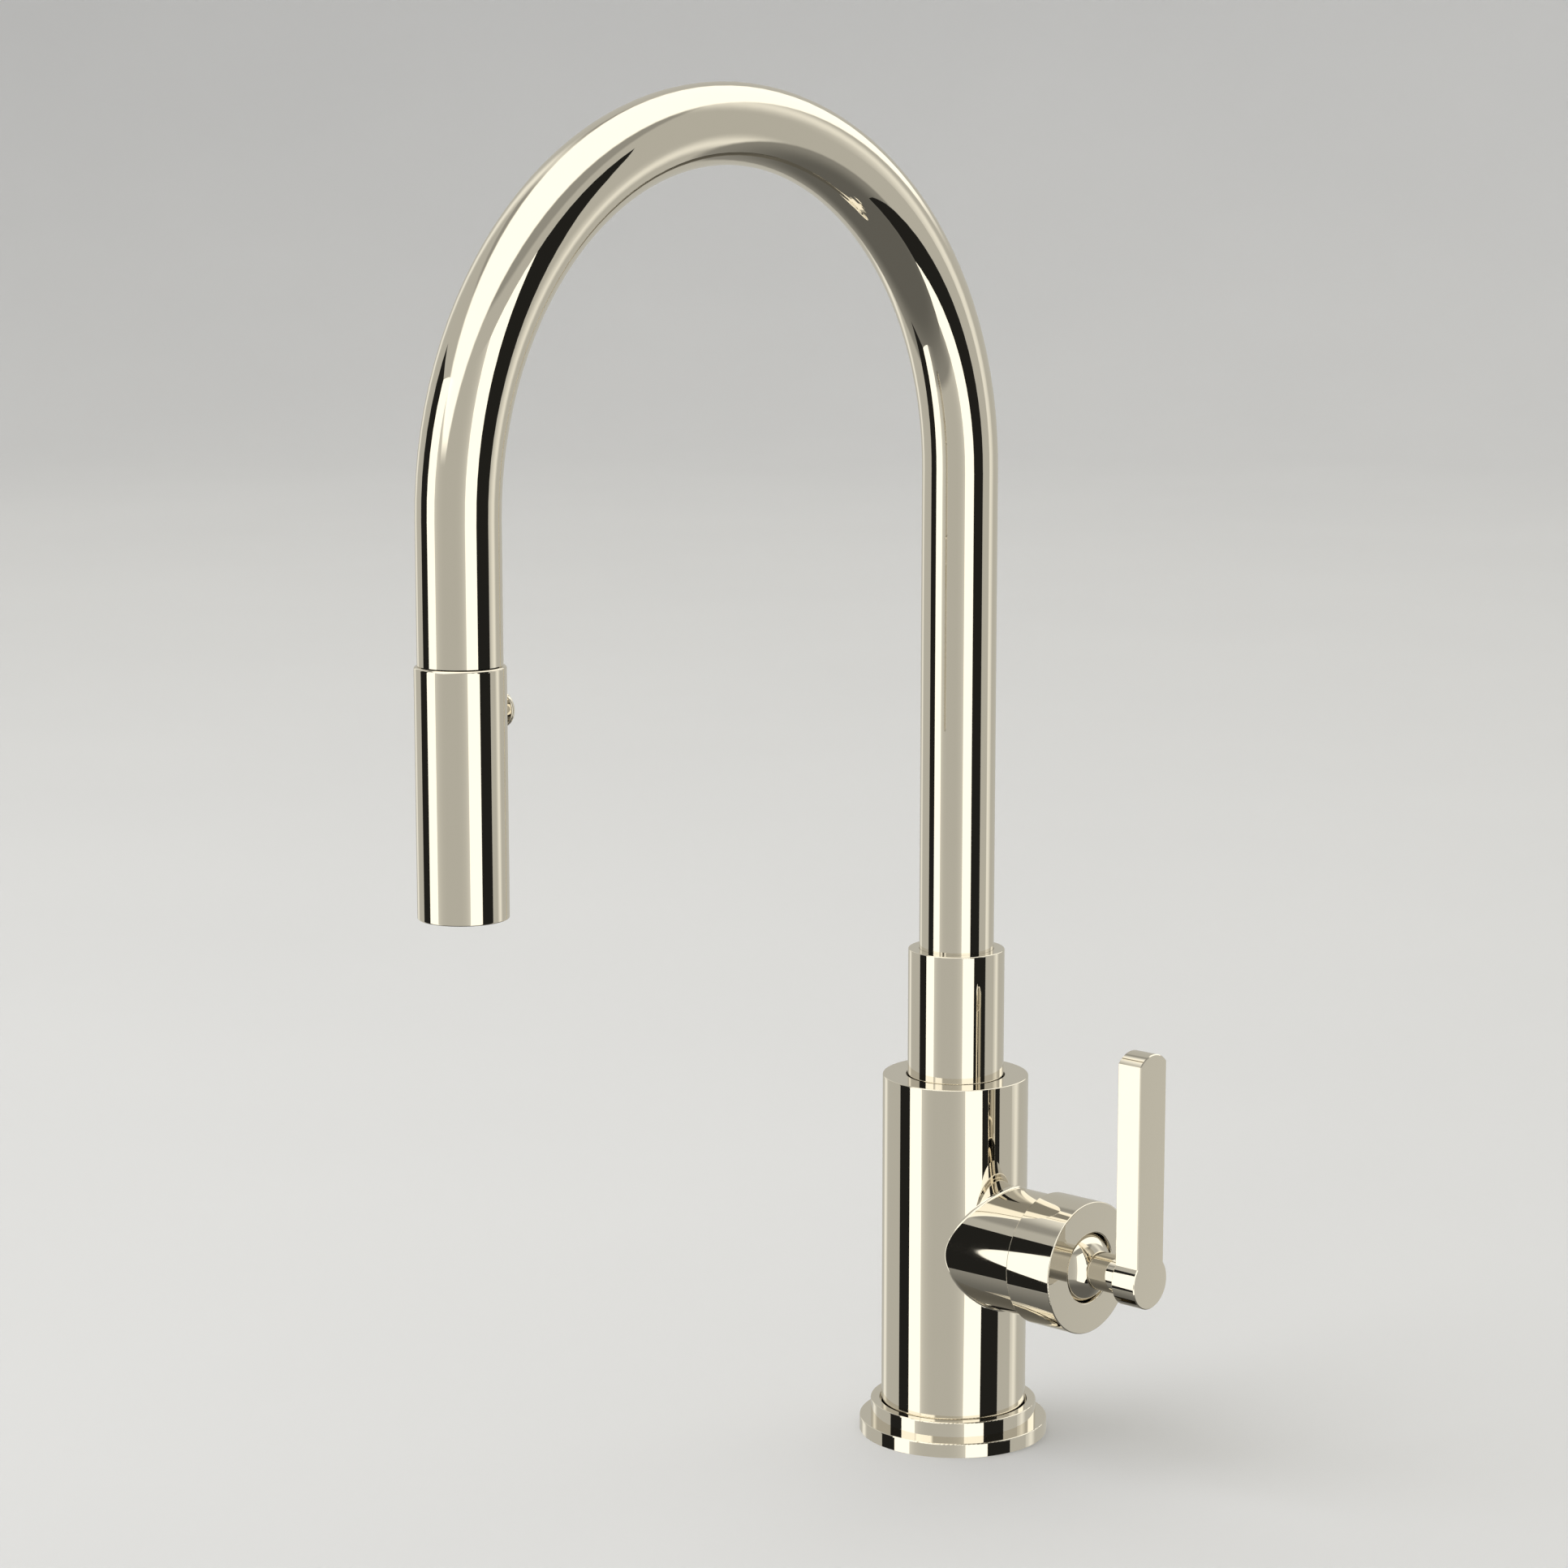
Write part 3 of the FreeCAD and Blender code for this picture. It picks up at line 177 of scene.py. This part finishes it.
def make_world():
    """A grey room with a white ceiling and a dark floor, as the polished metal sees it."""
    world = bpy.data.worlds.new("studio")
    bpy.context.scene.world = world
    shader = Shader(world)
    direction = shader.add("ShaderNodeTexCoord").outputs["Generated"]
    split = shader.add("ShaderNodeSeparateXYZ", {0: direction})
    x, z = split.outputs["X"], split.outputs["Z"]

    wall = shader.mixed(shader.edge(z, SOFFIT_FROM, SOFFIT_EDGE), WALL_LIGHT, SOFFIT_LIGHT)
    for heading, brightness in GLOWS:
        wall = shader.sum("ADD", wall, glow(shader, direction, heading, brightness))

    floor = shader.steps(z, FLOOR_DARKEST_AT, FLOOR_BELOW, FLOOR_LIGHT_NEAR, FLOOR_LIGHT_FAR)
    room = shader.mixed(shader.edge(z, FLOOR_BELOW, FLOOR_EDGE), floor, wall)

    right = shader.sum("MULTIPLY", x, SKY_SLOPE_RIGHT)
    left = shader.sum("MULTIPLY", x, -SKY_SLOPE_LEFT)
    wall_top = shader.sum("MAXIMUM", shader.sum("MAXIMUM", right, left), SKY_LOWEST)
    over = shader.edge(shader.sum("SUBTRACT", z, wall_top), 0.0, SKY_EDGE)
    light = shader.mixed(over, room, SKY_LIGHT)

    background = shader.add("ShaderNodeBackground", {"Color": STUDIO_TINT, "Strength": light})
    shader.add("ShaderNodeOutputWorld", {"Surface": background.outputs[0]})


def glow(shader, direction, heading, brightness):
    """A soft upright band of light on the wall at that heading."""
    ahead = shader.along(direction, toward(heading))
    aside = shader.along(direction, toward(heading + 90))
    near = shader.steps(shader.sum("ABSOLUTE", aside), 0.0, GLOW_WIDTH, brightness, 0.0)
    return shader.sum("MULTIPLY", near, shader.steps(ahead, 0.0, GLOW_DEPTH))


def card_material(name, clear):
    """A glowing sheet whose light is the mesh's own attribute; a clear one adds it to what is behind."""
    material = bpy.data.materials.new(name)
    shader = Shader(material)
    light = shader.add("ShaderNodeAttribute", attribute_name="light").outputs["Fac"]
    surface = shader.add("ShaderNodeEmission", {"Color": STUDIO_TINT, "Strength": light})
    if clear:
        behind = shader.add("ShaderNodeBsdfTransparent")
        surface = shader.add("ShaderNodeAddShader", {0: surface.outputs[0], 1: behind.outputs[0]})
    shader.add("ShaderNodeOutputMaterial", {"Surface": surface.outputs[0]})
    return material


def make_card(name, path, heights, lights, material):
    """An upright card over the path of (x, y) points, that only the polished metal sees."""
    points = [(x, y, z) for x, y in path for z in heights]
    faces = [(2 * i, 2 * i + 2, 2 * i + 3, 2 * i + 1) for i in range(len(path) - 1)]
    mesh = bpy.data.meshes.new(name)
    mesh.from_pydata(points, [], faces)
    values = mesh.attributes.new("light", "FLOAT", "POINT")
    values.data.foreach_set("value", [light for light in lights for _ in heights])
    mesh.materials.append(material)
    card = bpy.data.objects.new(name, mesh)
    bpy.context.collection.objects.link(card)
    card.visible_camera = False
    card.visible_diffuse = False
    card.visible_shadow = False


LEFT_HEIGHTS = (-0.67, 0.81)
RIGHT_HEIGHTS = (-0.80, 1.0)
LEFT_BLACK = ((-0.910, -0.597), (-0.695, -0.963))
LEFT_WHITE = ((-0.695, -0.963), (-0.256, -1.008))
RIGHT_WHITE = ((1.046, -0.727), (1.016, -0.134))
RIGHT_BLACK = ((1.016, -0.134), (0.834, 0.363))
SKIRT_LIGHT = 0.235
SKIRT_WIDTH = 25.0  # degrees round the faucet
SKIRT_FADE = 7.0
SKIRT_STEPS = 20


def make_skirt(name, edge, side, heights, material):
    """Light that fades away round the faucet from a white card's edge."""
    middle_y = (cad_low.y + cad_high.y) / 2
    reach = math.hypot(edge[0], edge[1] - middle_y)
    heading = math.degrees(math.atan2(edge[0], middle_y - edge[1]))
    path, lights = [], []
    for step in range(SKIRT_STEPS + 1):
        away = SKIRT_WIDTH * step / SKIRT_STEPS
        across, ahead, _ = toward(heading + side * away)
        path.append((reach * across, middle_y + reach * ahead))
        lights.append(SKIRT_LIGHT * (math.exp(-away / SKIRT_FADE) - math.exp(-SKIRT_WIDTH / SKIRT_FADE)))
    make_card(name, path, heights, lights, material)


def make_cards():
    """A white and a black card on each side of the camera give the metal its upright bands."""
    solid, clear = card_material("card_light", False), card_material("skirt_light", True)
    make_card("white_card_right", RIGHT_WHITE, RIGHT_HEIGHTS, (CARD_WHITE, CARD_WHITE), solid)
    make_card("black_card_right", RIGHT_BLACK, RIGHT_HEIGHTS, (CARD_BLACK, CARD_BLACK), solid)
    make_card("white_card_left", LEFT_WHITE, LEFT_HEIGHTS, (CARD_WHITE, CARD_WHITE), solid)
    make_card("black_card_left", LEFT_BLACK, LEFT_HEIGHTS, (CARD_BLACK, CARD_BLACK), solid)
    make_skirt("skirt_right", RIGHT_WHITE[0], -1, RIGHT_HEIGHTS, clear)
    make_skirt("skirt_left", LEFT_WHITE[1], 1, LEFT_HEIGHTS, clear)


BACKDROP_FLOOR = 4.0
BACKDROP_BEND = 1.5
BACKDROP_HEIGHT = 3.5
BACKDROP_STEPS = 96
BACKDROP_RINGS = 50
BACKDROP_BEND_RINGS = 12


def make_backdrop():
    """A pale floor at the level the faucet stands on, that curves up into a plain wall all round."""
    profile = [(BACKDROP_FLOOR * (i / BACKDROP_RINGS) ** 2, 0.0) for i in range(1, BACKDROP_RINGS + 1)]
    for i in range(1, BACKDROP_BEND_RINGS + 1):
        turned = math.radians(90 * i / BACKDROP_BEND_RINGS)
        profile.append((BACKDROP_FLOOR + BACKDROP_BEND * math.sin(turned),
                        BACKDROP_BEND * (1 - math.cos(turned))))
    profile.append((BACKDROP_FLOOR + BACKDROP_BEND, BACKDROP_HEIGHT))
    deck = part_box("base_flange")[0].z
    backdrop = revolved("backdrop", profile, (0, 0, deck), BACKDROP_STEPS)
    backdrop.data.materials.append(pale_material())
    backdrop.visible_glossy = False


def revolved(name, profile, origin, steps):
    """A surface turned about Z through the (radius, height) pairs of profile, closed inside the first."""
    points, faces = [], []
    for radius, height in profile:
        for i in range(steps):
            turned = 2 * math.pi * i / steps
            points.append((origin[0] + radius * math.cos(turned), origin[1] + radius * math.sin(turned),
                           origin[2] + height))
    for ring in range(len(profile) - 1):
        this, following = ring * steps, (ring + 1) * steps
        for i in range(steps):
            after = (i + 1) % steps
            faces.append((this + i, following + i, following + after, this + after))
    mesh = bpy.data.meshes.new(name)
    mesh.from_pydata(points, [], [*faces, tuple(range(steps))])
    mesh.polygons.foreach_set("use_smooth", [True] * len(mesh.polygons))
    made = bpy.data.objects.new(name, mesh)
    bpy.context.collection.objects.link(made)
    return made


PALE_COLOURS = ((0.67, 0.68, 0.72, 1), (0.70, 0.71, 0.75, 1))
PALE_NOISE = {"Scale": 3.0, "Detail": 2.0}
PALE_ROUGHNESS = 0.9


def pale_material():
    """A matt pale studio floor."""
    material = bpy.data.materials.new("pale_floor")
    shader = Shader(material)
    place = shader.add("ShaderNodeTexCoord").outputs["Object"]
    noise = shader.add("ShaderNodeTexNoise", {"Vector": place, **PALE_NOISE}).outputs["Fac"]
    tone = shader.add("ShaderNodeValToRGB", {"Fac": noise})
    for element, value in zip(tone.color_ramp.elements, PALE_COLOURS):
        element.color = value
    inputs = {"Base Color": tone.outputs[0], "Roughness": PALE_ROUGHNESS}
    surface = shader.add("ShaderNodeBsdfPrincipled", inputs)
    shader.add("ShaderNodeOutputMaterial", {"Surface": surface.outputs[0]})
    return material


LAMP_PLACE = (-0.9, -1.1, 2.2)
LAMP_AIM = (0.0, -0.1, 0.0)
LAMP_SIZE = 1.6
LAMP_POWER = 14.0


def make_soft_light():
    """One large lamp that gives the floor its soft shadow."""
    lamp = bpy.data.lights.new("soft_lamp", "AREA")
    lamp.shape = "DISK"
    lamp.size = LAMP_SIZE
    lamp.energy = LAMP_POWER
    made = bpy.data.objects.new("soft_lamp", lamp)
    made.location = LAMP_PLACE
    aim = Vector(LAMP_AIM) - Vector(LAMP_PLACE)
    made.rotation_euler = aim.to_track_quat("-Z", "Y").to_euler()
    made.visible_glossy = False
    bpy.context.collection.objects.link(made)


# ---------------------------------------------------------------- materials
NOISE_RANGE = (0.3, 0.7)  # the part of the noise that roughness follows
NOISE_DETAIL = 4.0
BUMP_DISTANCE = 0.0002
EVEN = (1, 1, 1)
TURNED = (0.3, 0.3, 3.0)
ALONG_Z = (1, 1, 0.3)

# For each slot of the record: the material's name, the two colours and the two roughnesses that a noise
# moves between, how metallic it is, its bump, and its noise's scale and stretch.
FINISHES = {
    "polished_nickel": ("polished_nickel", ((0.835, 0.793, 0.712), (0.845, 0.806, 0.726)), (0.012, 0.03),
                        1.0, 0.0, 90.0, EVEN),
    "brass": ("turned_brass", ((0.74, 0.54, 0.24), (0.86, 0.66, 0.33)), (0.2, 0.34),
              1.0, 0.25, 900.0, TURNED),
    "stainless_steel": ("brushed_stainless", ((0.55, 0.54, 0.52), (0.68, 0.67, 0.65)), (0.2, 0.34),
                        1.0, 0.2, 900.0, TURNED),
    "black_rubber": ("black_rubber", ((0.012, 0.012, 0.013), (0.03, 0.03, 0.03)), (0.5, 0.75),
                     0.0, 0.5, 1500.0, EVEN),
    "grey_silicone": ("grey_silicone", ((0.30, 0.31, 0.32), (0.36, 0.37, 0.38)), (0.42, 0.55),
                      0.0, 0.3, 1500.0, EVEN),
    "white_acetal": ("white_acetal", ((0.78, 0.77, 0.73), (0.86, 0.85, 0.82)), (0.32, 0.45),
                     0.0, 0.2, 700.0, EVEN),
    "dark_plastic": ("dark_plastic", ((0.018, 0.018, 0.02), (0.034, 0.034, 0.036)), (0.34, 0.5),
                     0.0, 0.4, 1800.0, EVEN),
    "ceramic": ("alumina_ceramic", ((0.82, 0.80, 0.75), (0.9, 0.89, 0.85)), (0.1, 0.18),
                0.0, 0.05, 1200.0, EVEN),
    "hose_braid": ("braided_nylon", ((0.10, 0.10, 0.105), (0.22, 0.22, 0.225)), (0.45, 0.65),
                   0.0, 0.8, 1600.0, ALONG_Z),
}


def finish(name, colours, roughness, metallic, bump, scale, stretch):
    """A procedural material whose colour and roughness move a little with a fine noise."""
    material = bpy.data.materials.new(name)
    shader = Shader(material)
    place = shader.add("ShaderNodeTexCoord").outputs["Object"]
    scaled = shader.add("ShaderNodeMapping", {"Vector": place, "Scale": stretch}).outputs[0]
    inputs = {"Vector": scaled, "Scale": scale, "Detail": NOISE_DETAIL}
    noise = shader.add("ShaderNodeTexNoise", inputs).outputs["Fac"]
    tone = shader.add("ShaderNodeValToRGB", {"Fac": noise})
    for element, value in zip(tone.color_ramp.elements, colours):
        element.color = (*value, 1)
    inputs = {"Base Color": tone.outputs[0], "Metallic": metallic,
              "Roughness": shader.steps(noise, *NOISE_RANGE, *roughness)}
    if bump:
        inputs["Normal"] = shader.bumped(noise, bump, BUMP_DISTANCE)
    surface = shader.add("ShaderNodeBsdfPrincipled", inputs)
    shader.add("ShaderNodeOutputMaterial", {"Surface": surface.outputs[0]})
    return material


def dress_nodes(materials):
    """Each CAD node gets the material of its own slot."""
    for node in frame["nodes"].values():
        for place in node.material_slots:
            place.material = materials[place.material.name.split(".")[0]]


def joint_travel(name):
    """How far the slide joint moves at its limit."""
    return next(joint for joint in frame["joints"] if joint["name"] == name)["range_m"][1]


# ---------------------------------------------------------------- hose tail (metres)
STRANDS = 12  # each way round the hose
COLUMNS = 96
ROWS = 600
RELIEF = 0.00035
WALL = 0.0018
CROSSING_RISE = 0.28  # how far a strand rises over the one it crosses, as a share of its height
FERRULE_GRIP = 0.0005  # length inside the ferrule's mouth that already moves with the wand
HALVINGS = 40


def braid_height(around, along):
    """Height from 0 to 1 of a woven braid, with around and along counted in strands."""
    rise, fall = around + along, around - along
    over = (math.floor(rise) + math.floor(fall)) % 2 == 0
    across, down = (rise % 1, fall % 1) if over else (fall % 1, rise % 1)
    crossing = 1 - CROSSING_RISE + CROSSING_RISE * math.sin(math.pi * down)
    return math.sqrt(max(0.0, 1 - (2 * across - 1) ** 2)) * crossing


def pulled_out(z, start, end, pull):
    """Where the pull joint's limit leaves a point of the blended tail that rests at z."""
    share = min(1.0, max(0.0, (start - z) / (start - end)))
    return z - pull * share * share * (3 - 2 * share)


def at_rest(pulled, start, end, pull, low, high):
    """The rest height of the point that stands at that height when the wand is pulled out."""
    for _ in range(HALVINGS):
        middle = (low + high) / 2
        if pulled_out(middle, start, end, pull) < pulled:
            low = middle
        else:
            high = middle
    return (low + high) / 2


def make_hose_tail():
    """The braided hose between the outlet and the wand, built at rest with its weave spaced for the wand
    drawn out to its limit.
    """
    low_corner, high_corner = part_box("hose_tail")
    axis = (low_corner + high_corner) / 2
    radius = (high_corner.x - low_corner.x) / 2
    start, end = high_corner.z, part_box("hose_ferrule")[1].z - FERRULE_GRIP
    pull = joint_travel("wand_pull")
    foot = pulled_out(low_corner.z, start, end, pull)
    strand = 2 * math.pi * radius / STRANDS

    points, relief = [], []
    for row in range(ROWS + 1):
        pulled = foot + (high_corner.z - foot) * row / ROWS
        z = at_rest(pulled, start, end, pull, low_corner.z, high_corner.z)
        for column in range(COLUMNS):
            turned = 2 * math.pi * column / COLUMNS
            height = braid_height(STRANDS * column / COLUMNS, pulled / strand)
            out = radius - RELIEF * (1 - height)
            points.append((axis.x + out * math.cos(turned), axis.y + out * math.sin(turned), z))
            relief.append(height)
    for z in (high_corner.z, low_corner.z):
        for column in range(COLUMNS):
            turned = 2 * math.pi * column / COLUMNS
            points.append((axis.x + (radius - WALL) * math.cos(turned),
                           axis.y + (radius - WALL) * math.sin(turned), z))
            relief.append(0.0)
    rings = ROWS + 3
    faces = []
    for ring in range(rings):
        this, following = ring * COLUMNS, (ring + 1) % rings * COLUMNS
        for column in range(COLUMNS):
            after = (column + 1) % COLUMNS
            faces.append((this + column, this + after, following + after, following + column))
    mesh = bpy.data.meshes.new("braided_tail")
    mesh.from_pydata(points, [], faces)
    mesh.polygons.foreach_set("use_smooth", [True] * len(mesh.polygons))
    # the braid material also reads the relief as painted shade, darkest in the gaps between strands
    values = mesh.attributes.new("relief", "FLOAT", "POINT")
    values.data.foreach_set("value", relief)
    mesh.materials.append(braid_material())
    tail = bpy.data.objects.new("braided_tail", mesh)
    bpy.context.collection.objects.link(tail)
    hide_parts("hose_tail")
    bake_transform(tail)


# first colour: painted shade in the gaps and under crossings; second: the strands' own grey
BRAID_COLOURS = ((0.25, (0.012, 0.012, 0.013)), (0.9, (0.23, 0.23, 0.235)))
BRAID_ROUGHNESS = (0.42, 0.6)
BRAID_SHEEN = 0.25
FILAMENT_SHARE = 0.25  # of the tone, and the strands' height gives the rest as painted shade
FILAMENT_NOISE = {"Scale": 2600.0, "Detail": 3.0}
FILAMENT_BUMP = (0.6, 0.0001)


def braid_material():
    """Grey nylon strands with painted shade in the gaps between them and where one dips under another, and
    fine filaments along them.
    """
    material = bpy.data.materials.new("woven_nylon")
    shader = Shader(material)
    place = shader.add("ShaderNodeTexCoord").outputs["Object"]
    height = shader.add("ShaderNodeAttribute", attribute_name="relief").outputs["Fac"]
    filaments = shader.add("ShaderNodeTexNoise", {"Vector": place, **FILAMENT_NOISE}).outputs["Fac"]
    # painted shade: the tone follows the strands' height, darkest in the gaps and where a strand dips under
    # another
    strand_shade = shader.sum("MULTIPLY", height, 1 - FILAMENT_SHARE)
    shade_and_mottle = shader.sum("ADD", strand_shade, shader.sum("MULTIPLY", filaments, FILAMENT_SHARE))
    tone = shader.add("ShaderNodeValToRGB", {"Fac": shade_and_mottle})
    for element, (position, value) in zip(tone.color_ramp.elements, BRAID_COLOURS):
        element.position = position
        element.color = (*value, 1)
    surface = shader.add("ShaderNodeBsdfPrincipled", {
        "Base Color": tone.outputs[0], "Roughness": shader.steps(filaments, *NOISE_RANGE, *BRAID_ROUGHNESS),
        "Sheen Weight": BRAID_SHEEN, "Normal": shader.bumped(filaments, *FILAMENT_BUMP)})
    shader.add("ShaderNodeOutputMaterial", {"Surface": surface.outputs[0]})
    return material


# ---------------------------------------------------------------- springs (metres)
SPRINGS = (  # node, its joint, the axis it stands along (0 is X), wire radius, turns
    ("button_spring", "button_press", 1, 0.0003, 2.05),
    ("check_spring", "check_open", 2, 0.00025, 3.6),
)
WIRE_SIDES = 12
TURN_STEPS = 48


def make_spring(node, joint, along, wire, turns, material):
    """A wound wire spring in its node's place, attached to the wand."""
    low_corner, high_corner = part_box(node)
    first, second = [axis for axis in range(3) if axis != along]
    middle = (low_corner + high_corner) / 2
    coil = (high_corner[first] - low_corner[first]) / 2 - wire
    length = high_corner[along] - low_corner[along]
    steps = int(turns * TURN_STEPS)
    points = []
    for step in range(steps + 1):
        turned = 2 * math.pi * turns * step / steps
        rise = low_corner[along] + wire + (length - 2 * wire) * step / steps
        for side in range(WIRE_SIDES):
            round_wire = 2 * math.pi * side / WIRE_SIDES
            out = coil + wire * math.cos(round_wire)
            point = [0.0, 0.0, 0.0]
            point[first] = middle[first] + out * math.cos(turned)
            point[second] = middle[second] + out * math.sin(turned)
            point[along] = rise + wire * math.sin(round_wire)
            points.append(point)
    last = steps * WIRE_SIDES
    faces = [tuple(range(WIRE_SIDES)), tuple(last + side for side in reversed(range(WIRE_SIDES)))]
    for step in range(steps):
        for side in range(WIRE_SIDES):
            this, after = step * WIRE_SIDES + side, step * WIRE_SIDES + (side + 1) % WIRE_SIDES
            faces.append((this, this + WIRE_SIDES, after + WIRE_SIDES, after))
    mesh = bpy.data.meshes.new(f"{node}_wound")
    mesh.from_pydata(points, [], faces)
    if along == 1:  # X, Z and Y in that order are left-handed
        mesh.flip_normals()
    mesh.materials.append(material)
    spring = bpy.data.objects.new(f"{node}_wound", mesh)
    bpy.context.collection.objects.link(spring)
    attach(spring, "wand")
    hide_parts(node)
    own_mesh(spring)


# ---------------------------------------------------------------- making
make_camera()
make_world()
make_cards()
make_backdrop()
make_soft_light()
bpy.context.scene.view_settings.view_transform = "Standard"
materials = {slot: finish(*values) for slot, values in FINISHES.items()}
dress_nodes(materials)
make_hose_tail()
for row in SPRINGS:
    make_spring(*row, materials["stainless_steel"])

bpy.context.view_layer.update()
